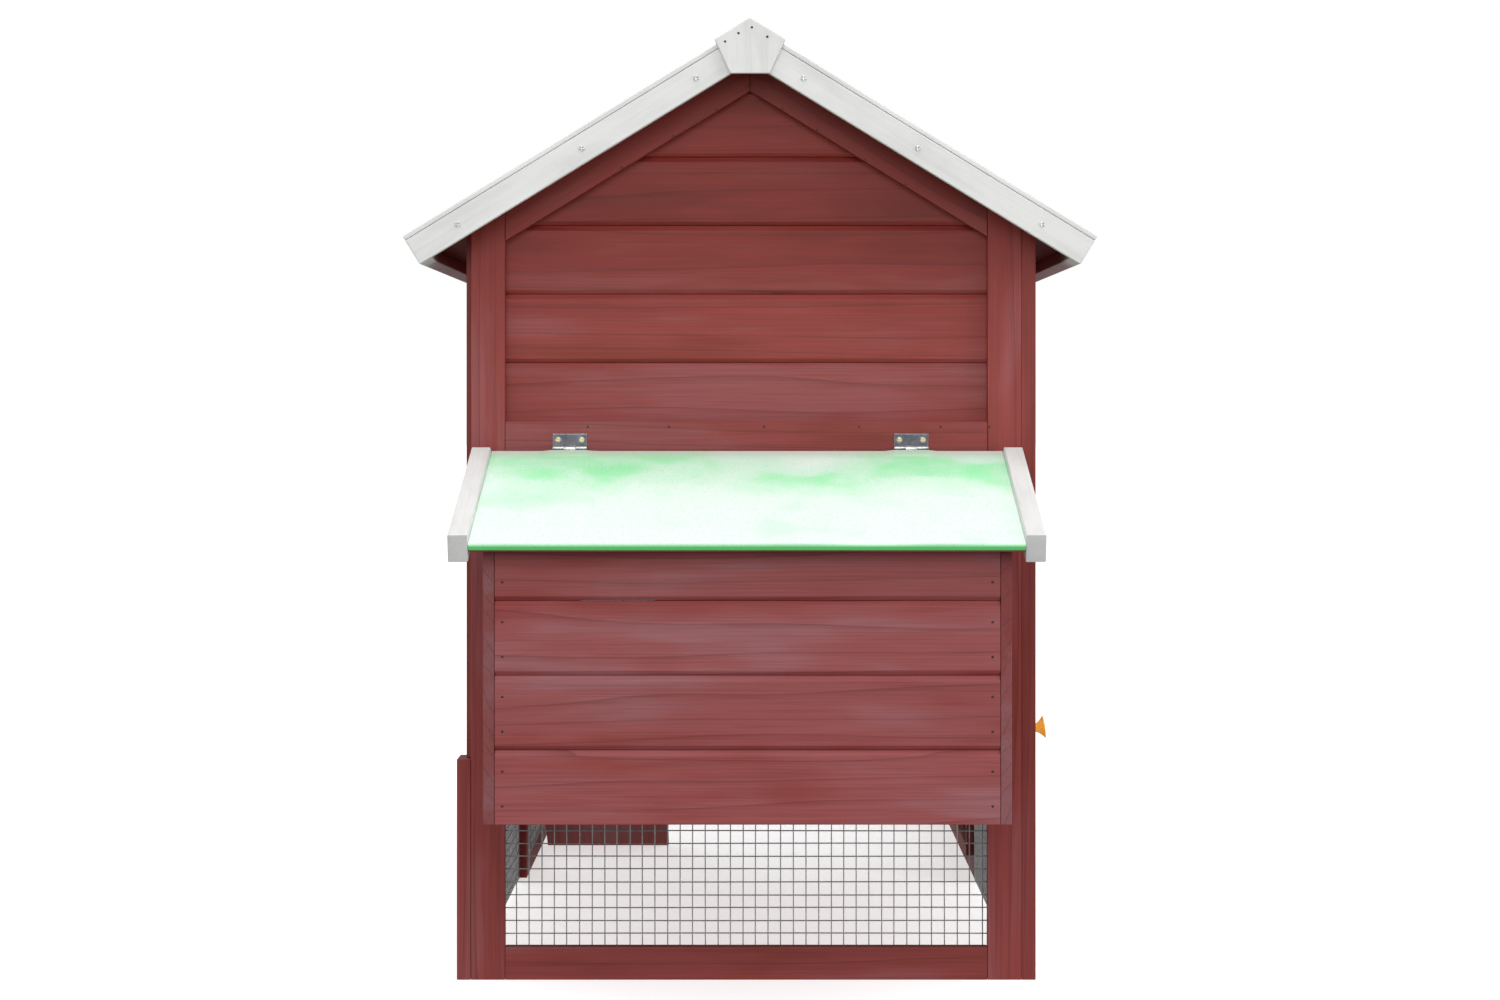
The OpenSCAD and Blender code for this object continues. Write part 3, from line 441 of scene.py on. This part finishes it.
def felt_sheet(name, node, body, along, look, seed, lip=0.0, deck_joints=0, hinges=()):
    """A sheet of felt in a CAD sheet's place: the middle line moved half a thickness out and in,
    carried along the slope. Its face rises and falls by slow sines, dips a little over each
    joint of the boards below, and rides up over the hinge leaves under it."""
    along = np.array(along, float)
    up, down = slope_of(node, along)
    co = read(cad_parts[node].data.vertices, "co", 3)
    a0, a1 = (co @ along).min(), (co @ along).max()
    d0, d1 = (co @ down).min(), (co @ down).max()
    base = (co @ up).min()
    line, face = felt_path(d0, d1, lip)
    a = np.linspace(a0, a1, 2 + int((a1 - a0) / felt_step))[:, None]
    d = line[None, :, 0]
    dice = np.random.default_rng(seed)
    lift = np.zeros((a.shape[0], d.shape[1]))
    for _ in range(7):
        pitch_a, pitch_d = dice.uniform(0.11, 0.42, 2)
        slant = dice.choice([-1, 1])
        lift += np.sin(2 * math.pi * (a / pitch_a + d / pitch_d * slant) + dice.uniform(0, 6.3))
    edge_room = np.minimum(np.minimum(a - a0, a1 - a), d - d0).clip(0, 0.05) / 0.05
    lift = felt_wave * (lift + 3.0) * edge_room
    for k in range(1, deck_joints):
        off = d - d0 - (d1 - d0) * k / deck_joints
        lift -= joint_dip * np.exp(-(off / joint_reach) ** 2) * edge_room
    for middle, half in hinges:
        over = (np.abs(a - middle) - half).clip(0, 1) + (d - d0 - leaf_reach).clip(0, 1)
        lift += hinge_rise * np.exp(-(over / hinge_fade) ** 2)
    middle = base + felt_t / 2 + line[None, :, 1] + lift * face[None, :, 1]

    def at(side):
        out = side * felt_t / 2
        return (a[..., None] * along + (d + face[None, :, 0] * out)[..., None] * down
                + (middle + face[None, :, 1] * out)[..., None] * up)

    rows, cols = lift.shape
    top = np.arange(rows * cols).reshape(rows, cols)
    if np.dot(np.cross(along, down), up) < 0:
        top = top[:, ::-1]
    under = top + rows * cols

    def quads(p, q, r, s):
        return np.stack([p, q, r, s], -1).reshape(-1, 4).tolist()

    faces = quads(top[:-1, :-1], top[1:, :-1], top[1:, 1:], top[:-1, 1:])
    faces += quads(under[:-1, :-1], under[:-1, 1:], under[1:, 1:], under[1:, :-1])
    faces += quads(top[0, :-1], top[0, 1:], under[0, 1:], under[0, :-1])
    faces += quads(top[-1, :-1], under[-1, :-1], under[-1, 1:], top[-1, 1:])
    faces += quads(top[:-1, 0], under[:-1, 0], under[1:, 0], top[1:, 0])
    faces += quads(top[:-1, -1], top[1:, -1], under[1:, -1], under[:-1, -1])
    piece = mesh_piece(name, np.stack([at(1), at(-1)]), faces, look, body)
    bare = np.stack([np.broadcast_to((1 - face[:, 1]).clip(0, 1), lift.shape), np.ones_like(lift)])
    write(piece.data, "felt_edge", bare.ravel())
    fallen = np.broadcast_to((d - d0) / (d1 - d0), (2, rows, cols))
    write(piece.data, "felt_fall", fallen.ravel())
    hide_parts(node)
    return piece


def mineral_felt_look():
    """Pale and green stone granules about a millimetre across in a green bitumen face: the pale
    ones gather in broad clouds and towards the foot of the slope, dust lies along its head, and
    the sheet's turned edge and underside are bare green."""
    look = bpy.data.materials.new("green_mineral_felt")
    look.use_nodes = True
    add = joiner(look)
    skin = look.node_tree.nodes["Principled BSDF"]
    place = add("ShaderNodeTexCoord").outputs["Object"]
    cloud = add("ShaderNodeTexNoise", Vector=place, Scale=7.5, Detail=3.0, Roughness=0.55).outputs["Fac"]
    fall = add("ShaderNodeAttribute", set_attribute_name="felt_fall").outputs["Fac"]
    washed = math_node(add, "MULTIPLY", fall, 0.26)
    cloud = math_node(add, "ADD", washed, math_node(add, "SUBTRACT", cloud, 0.11))
    body = ramp(add, cloud, [(0.27, (0.40, 0.95, 0.52)), (0.44, (0.70, 0.97, 0.78)),
                             (0.61, (0.83, 0.98, 0.89))])
    stones = add("ShaderNodeTexVoronoi", Vector=place, Scale=950.0, Randomness=1.0)
    kind = add("ShaderNodeSeparateColor", Color=stones.outputs["Color"]).outputs[0]
    speck = ramp(add, kind, [(0.0, (0.40, 0.72, 0.46)), (0.12, (0.66, 0.90, 0.70)), (0.30, (1, 1, 1))])
    body = blend_colour(add, "MULTIPLY", 0.4, body, speck)
    dust = ramp(add, fall, [(0.0, (0.75, 0.75, 0.75)), (0.12, (0, 0, 0))])
    body = blend_colour(add, "MIX", dust, body, (0.66, 0.66, 0.60))
    edge = add("ShaderNodeAttribute", set_attribute_name="felt_edge").outputs["Fac"]
    body = blend_colour(add, "MIX", edge, body, (0.10, 0.62, 0.16))
    look.node_tree.links.new(body, skin.inputs["Base Color"])
    skin.inputs["Roughness"].default_value = 0.82
    skin.inputs["Specular IOR Level"].default_value = 0.3
    relief = stones.outputs["Distance"]
    bump = add("ShaderNodeBump", Height=relief, Strength=0.35, Distance=0.5 * MM).outputs[0]
    look.node_tree.links.new(bump, skin.inputs["Normal"])
    return look


felt_look = mineral_felt_look()
for side, seed in (("front", 71), ("back", 72)):
    deck = len(solids_of("roof_deck_" + side))
    felt_sheet("felt_" + side, "roof_felt_" + side, "coop", (0, 1, 0), felt_look, seed, deck_joints=deck)
leaf_spans = [(leaf[:, 0].min(), leaf[:, 0].max()) for leaf in solids_of("lid_hinge_leaves")]
lid_leaves = [((left + right) / 2, (right - left) / 2) for left, right in leaf_spans]
felt_sheet("felt_lid", "lid_felt", "nest_lid", (1, 0, 0), felt_look, 73, lip=lid_lip, hinges=lid_leaves)


# Wire panes: welded galvanised mesh stapled behind the frames, upright wires in front of level
# ones. The wires are all alike, so each is a thin six-sided rod with a very slight wave.
wire_d = 1.4 * MM
upright_pitch, level_pitch = 13.4 * MM, 13.65 * MM
wire_stray = 0.25 * MM
wire_bend, bend_length = 0.22 * MM, 0.11


def rods(centres, across, radius, sides=6):
    """Round rods along rows of centre points, all wires at once: each ring is the centre plus the
    radius times cosine and sine along two directions square to the wire. Ends are closed."""
    turn = np.linspace(0, 2 * math.pi, sides, endpoint=False)
    spin = np.cos(turn)[:, None] * across[0] + np.sin(turn)[:, None] * across[1]
    corners = centres[:, :, None, :] + radius * spin
    wires, rings = centres.shape[:2]
    index = np.arange(wires * rings * sides).reshape(wires, rings, sides)
    if np.dot(np.cross(across[0], across[1]), centres[0, -1] - centres[0, 0]) < 0:
        index = index[..., ::-1]
    after = np.roll(index, -1, axis=2)
    side_faces = np.stack([index[:, :-1], after[:, :-1], after[:, 1:], index[:, 1:]], -1).reshape(-1, 4)
    ends = np.concatenate([index[:, 0, ::-1], index[:, -1]])
    return corners.reshape(-1, 3), side_faces, ends


def galvanised_look(name, shade, rough, spangle):
    """Zinc: a cloud of dull and bright patches, with crystal spangles where the sheet has them, and
    a painted highlight, near white, on the faces that a face attribute marks."""
    look = bpy.data.materials.new(name)
    look.use_nodes = True
    add = joiner(look)
    skin = look.node_tree.nodes["Principled BSDF"]
    place = add("ShaderNodeTexCoord").outputs["Object"]
    dull = add("ShaderNodeTexNoise", Vector=place, Scale=160.0, Detail=3.0, Roughness=0.6).outputs["Fac"]
    if spangle:
        cells = add("ShaderNodeTexVoronoi", Vector=place, Scale=90.0, Randomness=1.0).outputs["Color"]
        one = add("ShaderNodeSeparateColor", Color=cells).outputs[0]
        dull = math_node(add, "ADD", math_node(add, "MULTIPLY", dull, 0.45),
                         math_node(add, "MULTIPLY", one, 0.55))
    low, high = [c * 0.72 for c in shade], [min(c * 1.18, 1) for c in shade]
    # Painted highlight: where the face attribute marks a face, the zinc is drawn near white.
    painted_highlight = add("ShaderNodeAttribute", set_attribute_name="painted_highlight").outputs["Fac"]
    body = ramp(add, dull, [(0.25, low), (0.75, high)])
    body = blend_colour(add, "MIX", painted_highlight, body, (0.78, 0.79, 0.80))
    look.node_tree.links.new(body, skin.inputs["Base Color"])
    rough_map = add("ShaderNodeMapRange", Value=dull, To_Min=rough - 0.08, To_Max=rough + 0.10).outputs[0]
    look.node_tree.links.new(rough_map, skin.inputs["Roughness"])
    skin.inputs["Metallic"].default_value = 0.85
    bump = add("ShaderNodeBump", Height=dull, Strength=0.12, Distance=0.3 * MM).outputs[0]
    look.node_tree.links.new(bump, skin.inputs["Normal"])
    return look


def wire_pane(node, body, look, seed):
    """A pane of welded mesh in a CAD pane's place. Level and upright wires lie a wire apart, each
    a little off its true line, and each bends along its length by a slow sine."""
    lo, hi = (np.array(c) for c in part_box(node))
    thin = int(np.argmin((hi - lo)[:2]))
    wide = 1 - thin
    dice = np.random.default_rng(seed)
    parts = []
    for line, other, pitch, side in ((wide, 2, upright_pitch, -1), (2, wide, level_pitch, 1)):
        spots = np.arange(lo[line] + 0.75 * pitch, hi[line] - 0.3 * pitch, pitch)
        spots = spots + dice.uniform(-1, 1, len(spots)) * wire_stray
        run = np.linspace(lo[other] + 1 * MM, hi[other] - 1 * MM, 9)
        centres = np.zeros((len(spots), len(run), 3))
        centres[..., other] = run
        phase = dice.uniform(0, 6.3, (len(spots), 1))
        centres[..., line] = spots[:, None] + wire_bend * np.sin(run / bend_length + phase)
        centres[..., thin] = (lo[thin] + hi[thin]) / 2 + side * wire_d * 0.46
        square = np.eye(3)[[thin, line]]
        parts.append(rods(centres, square, wire_d / 2))
    first = len(parts[0][0])
    faces = parts[0][1].tolist() + parts[0][2].tolist()
    faces += (parts[1][1] + first).tolist() + (parts[1][2] + first).tolist()
    corners = np.concatenate([part[0] for part in parts])
    pane = mesh_piece(node.replace("mesh", "wires"), corners, faces, look, body)
    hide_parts(node)


wire_look = galvanised_look("galvanised_wire", (0.44, 0.45, 0.45), 0.45, False)
panes = {"near_end_mesh": "coop", "far_end_mesh": "coop", "front_low_mesh": "coop",
         "back_low_mesh": "coop", "run_back_mesh": "coop", "run_door_mesh": "run_door"}
for seed, (node, body) in enumerate(panes.items(), 80):
    wire_pane(node, body, wire_look, seed)


# Screws and nails: zinc-plated cross-head screws hold the barge covers and fascias, and small
# flat nails hold the gable caps and the nest box's front boards. Only their heads show.
def turned(outline, feet, axes, sides=24, sink=None):
    """Pieces turned on a lathe, all at once: an outline of (radius, height) pairs is spun round
    each axis from its foot. The first and last pairs are on the axis, and close the ends. sink
    gives how far each point is pressed in, from its two distances across the head."""
    outline = np.array(outline)
    feet, axes = np.asarray(feet, float).reshape(-1, 3), np.asarray(axes, float).reshape(-1, 3)
    helper = np.where(np.abs(axes[:, 2:]) < 0.9, [[0.0, 0.0, 1.0]], [[1.0, 0.0, 0.0]])
    east = np.cross(helper, axes)
    east /= np.linalg.norm(east, axis=1, keepdims=True)
    north = np.cross(axes, east)
    turn = np.linspace(0, 2 * math.pi, sides, endpoint=False)
    radius, height = outline[1:-1, 0], outline[1:-1, 1]
    x = np.concatenate([np.outer(radius, np.cos(turn)).ravel(), [0, 0]])
    y = np.concatenate([np.outer(radius, np.sin(turn)).ravel(), [0, 0]])
    z = np.concatenate([np.repeat(height, sides), outline[[0, -1], 1]])
    if sink:
        z = z - sink(x, y) * (z > 0.5 * z.max())
    corners = (feet[:, None] + x[None, :, None] * east[:, None] + y[None, :, None] * north[:, None]
               + z[None, :, None] * axes[:, None])
    rings = len(radius)
    index = np.arange(rings * sides).reshape(rings, sides)
    after = np.roll(index, -1, axis=1)
    quads = np.stack([index[:-1], after[:-1], after[1:], index[1:]], -1).reshape(-1, 4)
    foot = np.stack([after[0], index[0], np.full(sides, rings * sides)], -1)
    tip = np.stack([index[-1], after[-1], np.full(sides, rings * sides + 1)], -1)
    step = (np.arange(len(feet)) * len(x))[:, None, None]
    faces = []
    for kind in (quads, foot, tip):
        faces += (kind[None] + step).reshape(-1, kind.shape[1]).tolist()
    return corners.reshape(-1, 3), faces


def domed(radius, rim, height, rings=5):
    """The outline of a screw head: a straight rim, then a dome by a quarter of an ellipse."""
    angle = np.linspace(0, math.pi / 2, rings + 1)[:-1]
    dome = [(radius * math.cos(t), rim + (height - rim) * math.sin(t)) for t in angle]
    inner = [(radius * share, rim + (height - rim) * math.sqrt(1 - share ** 2)) for share in (0.22, 0.10)]
    return [(0, 0), (radius, 0)] + dome + inner + [(0, height)]


def cross_recess(reach, half, depth):
    """A cross-head recess: pressed in where a point lies within half a slot's width of either
    line across the head and nearer the middle than the slot's reach, with soft edges."""
    def sink(x, y):
        near = np.minimum(np.abs(x), np.abs(y))
        far = np.hypot(x, y)
        return depth * (1 - near / half).clip(0, 1) ** 0.5 * (1 - far / reach).clip(0, 1) ** 0.4

    return sink


def head_axes(solid):
    """A screw head's foot and outward direction: its axis is the direction its corners spread
    least in, and it points to the end where they lie nearer the axis."""
    middle = (solid.min(0) + solid.max(0)) / 2
    axis = np.linalg.svd(solid - solid.mean(0), full_matrices=False)[2][2]
    along = (solid - middle) @ axis
    away = np.linalg.norm((solid - middle) - along[:, None] * axis, axis=1)
    if away[along > 0].max() > away[along < 0].max():
        axis, along = -axis, -along
    return middle + axis * along.min(), axis


bright_zinc = galvanised_look("bright_zinc_plate", (0.70, 0.71, 0.72), 0.28, False)
head_r, head_rim, head_h = 2.9 * MM, 0.9 * MM, 2.3 * MM
slot_half = 0.9 * MM
feet, outward = zip(*(head_axes(solid) for solid in solids_of("roof_screws")))
corners, faces = turned(domed(head_r, head_rim, head_h), feet, outward,
                        sink=cross_recess(0.75 * head_r, slot_half, 0.9 * MM))
trim_screws = mesh_piece("trim_screws", corners, faces, bright_zinc, "coop")
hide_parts("roof_screws")

dull_nails = galvanised_look("dull_nails", (0.07, 0.05, 0.045), 0.60, False)
nail_r, nail_h = 1.25 * MM, 0.45 * MM
spots = np.array([(solid.min(0) + solid.max(0)) / 2 for solid in solids_of("nails")])
outward = np.where(spots[:, 1:2] > 0, 1, -1) * [[0, 1, 0]]
feet = spots - 0.3 * MM * outward
corners, faces = turned(domed(nail_r, 0.25 * MM, nail_h, 3), feet, outward, sides=14)
nail_heads = mesh_piece("nail_heads", corners, faces, dull_nails, "coop")
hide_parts("nails")

# The end frame's own nails, driven by hand along its two sloping rails and its hinge rail, so
# their places across the frame are uneven
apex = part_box("near_end_frame")[1].z
below_apex, above_leaf = 45 * MM, 7.5 * MM
roof_fall = slope_of("roof_felt_front", (0, 1, 0))[1]
steepness = -roof_fall[2] / roof_fall[0]
sloping = np.array([-136, -81, -36, 0, 34, 71, 122, 165]) * MM
level = np.array([-172, -86, 15, 116, 202, 254]) * MM
across = np.concatenate([sloping, level])
hinge_row = np.full(len(level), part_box("nest_hinge_leaves")[1].z + above_leaf)
upward = np.concatenate([apex - below_apex - abs(sloping) * steepness, hinge_row])
feet = np.stack([across, np.full(len(across), end_y), upward], 1)
corners, faces = turned(domed(nail_r, 0.1 * MM, 0.25 * MM, 3), feet, [(0, -1, 0)] * len(feet), sides=14)
mesh_piece("frame_nail_heads", corners, faces, dull_nails, "coop")


# Hinges: zinc-plated steel butt hinges with rolled knuckles, two on the lid, two on each door
# and two on the ramp. Each leaf is held by two small brass-coloured screws.
def brass_look():
    """Brass-plated screw metal, a little darker where it has dulled."""
    look = bpy.data.materials.new("brass_plate")
    look.use_nodes = True
    add = joiner(look)
    skin = look.node_tree.nodes["Principled BSDF"]
    place = add("ShaderNodeTexCoord").outputs["Object"]
    dull = add("ShaderNodeTexNoise", Vector=place, Scale=420.0, Detail=2.0).outputs["Fac"]
    body = ramp(add, dull, [(0.3, (0.50, 0.40, 0.20)), (0.7, (0.78, 0.66, 0.38))])
    look.node_tree.links.new(body, skin.inputs["Base Color"])
    skin.inputs["Metallic"].default_value = 0.8
    skin.inputs["Roughness"].default_value = 0.36
    return look


brass = brass_look()
# Painted reflection: the hinge zinc is drawn very dark, as if it reflected dark surroundings.
zinc_painted_dark = galvanised_look("zinc_plate", (0.13, 0.14, 0.16), 0.24, False)

# The lid's own leaves lie under the felt and are drawn in brighter zinc. On the others the rolled
# knuckles and the eased edges, which are the faces not square to the coop, get a painted highlight, near
# white.
hinge_bodies = {"nest_hinge_leaves": "coop", "lid_hinge_leaves": "nest_lid", "door_hinge_leaves": "coop",
                "house_door_leaves": "house_door", "run_door_leaves": "run_door",
                "ramp_hinge_leaves": "coop", "ramp_leaves": "ramp"}
for seed, (node, body) in enumerate(hinge_bodies.items(), 90):
    look = bright_zinc if node == "lid_hinge_leaves" else zinc_painted_dark
    hinge = eased(node, look, body, seed, ease=0.15 * MM)
    squareness = np.abs(read(hinge.data.polygons, "normal", 3)).max(1)
    # Painted highlight: faces not square to the coop are marked to be drawn near white.
    write(hinge.data, "painted_highlight", (squareness < 0.97).astype(float), "FACE")

# Which way each leaf that shows reaches from its pin, and which way it faces
leaf_ways = {"nest_hinge_leaves": ((0, 0, 1), (0, -1, 0)), "door_hinge_leaves": ((0, 1, 0), (1, 0, 0)),
             "house_door_leaves": ((0, -1, 0), (1, 0, 0)), "run_door_leaves": ((0, -1, 0), (1, 0, 0)),
             "ramp_hinge_leaves": ((0, -1, 0), (0, 0, 1))}
knuckle_r = 3.0 * MM
leaf_t = 1.2 * MM
end_room = 5.5 * MM
hinge_screw_r = 2.9 * MM


def leaf_screws(node, reach, face):
    """The feet of a node's hinge screws: two on each leaf, a set distance in from its ends and
    halfway across what shows of it between the knuckle and its free edge."""
    reach, face = np.array(reach, float), np.array(face, float)
    feet = []
    for solid in solids_of(node):
        middle = (solid.min(0) + solid.max(0)) / 2
        pin = np.abs(np.cross(reach, face))
        span = (solid @ reach).max() - (solid @ reach).min()
        across = (solid @ reach).min() + knuckle_r + span / 2
        flat = (solid @ face).min() + leaf_t
        half = ((solid @ pin).max() - (solid @ pin).min()) / 2 - end_room
        centre = pin * (middle @ pin) + reach * across + face * flat
        feet += [centre + pin * half, centre - pin * half]
    return feet


for node, (reach, face) in leaf_ways.items():
    feet = leaf_screws(node, reach, face)
    corners, faces = turned(domed(hinge_screw_r, 0.3 * MM, 1.5 * MM), feet, [face] * len(feet),
                            sink=cross_recess(0.7 * hinge_screw_r, slot_half, 0.5 * MM))
    screws = mesh_piece(node.replace("leaves", "screws"), corners, faces, brass, hinge_bodies[node])


# Dropping tray: a folded galvanised sheet pan on the floor boards, drawn out by two turned
# wooden knobs with an orange varnish on its timber front.
pan_look = galvanised_look("tray_sheet", (0.60, 0.61, 0.62), 0.34, True)
eased("tray_pan", pan_look, "tray", 98, ease=0.3 * MM)


def varnish_look():
    """Orange varnish over turned softwood: rings of grain round the knob under a glossy coat. The
    colour is also given off as light, a painted glow, so the knob looks brighter than the light on it."""
    look = bpy.data.materials.new("orange_varnish")
    look.use_nodes = True
    add = joiner(look)
    skin = look.node_tree.nodes["Principled BSDF"]
    place = add("ShaderNodeTexCoord").outputs["Object"]
    drawn = add("ShaderNodeMapping", Vector=place, Scale=(60, 420, 420)).outputs[0]
    grain = add("ShaderNodeTexNoise", Vector=drawn, Scale=1.0, Detail=3.0, Roughness=0.6).outputs["Fac"]
    dye_and_glow = ramp(add, grain, [(0.30, (1.0, 0.38, 0.03)), (0.55, (1.0, 0.50, 0.08)),
                            (0.75, (1.0, 0.70, 0.24))])
    look.node_tree.links.new(dye_and_glow, skin.inputs["Base Color"])
    # Painted glow: the varnish colour also goes out as emission, though the knob is no lamp.
    look.node_tree.links.new(dye_and_glow, skin.inputs["Emission Color"])
    skin.inputs["Emission Strength"].default_value = 0.42
    skin.inputs["Roughness"].default_value = 0.34
    skin.inputs["Coat Weight"].default_value = 0.8
    skin.inputs["Coat Roughness"].default_value = 0.08
    return look


knobs = [(solid.min(0), solid.max(0)) for solid in solids_of("tray_knobs")]
knob_r = (knobs[0][1][2] - knobs[0][0][2]) / 2
knob_len = knobs[0][1][0] - knobs[0][0][0]
# From the foot to the rim, as shares of the knob's radius and length: a slim neck that spreads
# a little at its foot, then a flare that grows with the 2.3rd power of the way out from the
# neck's end, a thin rounded rim and a crowned face.
neck_r, neck_end, foot_spread, flare_end = 0.29, 0.36, 0.10, 0.90
share = np.linspace(0, 1, 18)
grow = ((share - neck_end) / (1 - neck_end)).clip(0, 1)
flare = np.stack([neck_r + 0.64 * grow ** 2.3 + foot_spread * (1 - share) ** 6, flare_end * share], 1)
turn = np.linspace(-0.9, 1.3, 7)
rim = np.stack([0.95 + 0.05 * np.cos(turn), 0.93 + 0.03 * np.sin(turn)], 1)
crown = [(0.75, 0.970), (0.5, 0.982), (0.25, 0.988), (0, 0.99)]
outline = np.concatenate([[(0, 0)], flare, rim, crown]) * (knob_r, knob_len)
lean = math.radians(8)
feet = [((lo + hi) / 2 * (0, 1, 1)) + (lo[0], 0, 0) for lo, hi in knobs]
corners, faces = turned(outline, feet, [(math.cos(lean), 0, math.sin(lean))] * len(feet), sides=40)
turned_knobs = mesh_piece("orange_knobs", corners, faces, varnish_look(), "tray")
turned_knobs.data.shade_smooth()
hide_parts("tray_knobs")

# Turn buttons' screws: a round brass head on each, standing just proud of the button.
lo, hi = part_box("button_screws")
middles = [(solid.min(0) + solid.max(0)) / 2 for solid in solids_of("button_screws")]
feet = [(lo[0], middle[1], middle[2]) for middle in middles]
round_r, round_h = 3.5 * MM, 1.7 * MM
shank_r, shank_len = 2.0 * MM, hi[0] - lo[0] - round_h
head = [(radius, height + shank_len) for radius, height in domed(round_r, 0.3 * MM, round_h)[1:]]
outline = [(0, 0), (shank_r, 0), (shank_r, shank_len)] + head
corners, faces = turned(outline, feet, [(1, 0, 0)] * len(feet),
                        sink=cross_recess(0.7 * round_r, 1.0 * MM, 0.8 * MM))
fixing = mesh_piece("button_fixings", corners, faces, brass, "coop")
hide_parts("button_screws")
